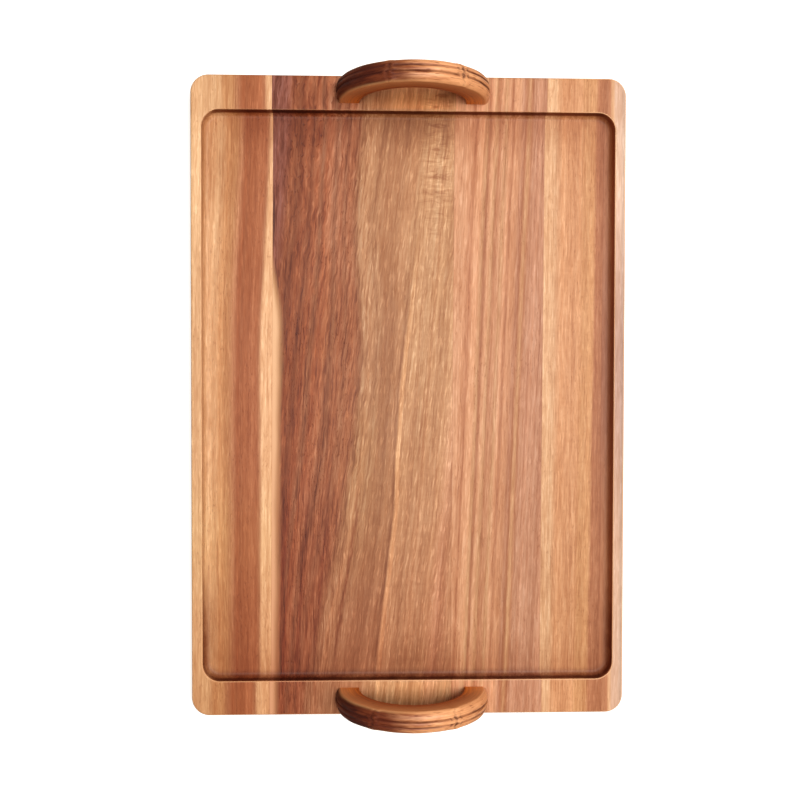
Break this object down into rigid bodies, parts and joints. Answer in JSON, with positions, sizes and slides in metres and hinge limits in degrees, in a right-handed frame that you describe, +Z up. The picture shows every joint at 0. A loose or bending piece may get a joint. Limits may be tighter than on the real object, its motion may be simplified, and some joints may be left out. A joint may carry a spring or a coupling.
{
  "type": "serving tray",
  "caption": "Rectangular wooden serving tray with a shallow routed well and upright half-round bamboo handles on its end rims.",
  "frame": {"origin": "centre of the footprint, on the underside that rests on the table", "axes": "+X across the tray to the right, +Y along the tray and the grain to the back handle, +Z up out of the well"},
  "size_m": [0.34, 0.5, 0.0794],
  "materials": {
    "left_stave_wood": "oiled, satin",
    "heartwood_stave_wood": "oiled, satin",
    "striped_stave_wood": "oiled, satin",
    "golden_stave_wood": "oiled, satin",
    "right_edge_wood": "oiled, satin",
    "bamboo": "caramelised, satin lacquer",
    "screw_steel": "zinc plated"
  },
  "bodies": {
    "root": {"left_stave": "left_stave_wood", "heartwood_stave": "heartwood_stave_wood", "striped_stave": "striped_stave_wood", "golden_stave": "golden_stave_wood", "right_edge_strip": "right_edge_wood", "back_handle": "bamboo", "front_handle": "bamboo", "back_handle_screws": "screw_steel", "front_handle_screws": "screw_steel"}
  },
  "joints": []
}
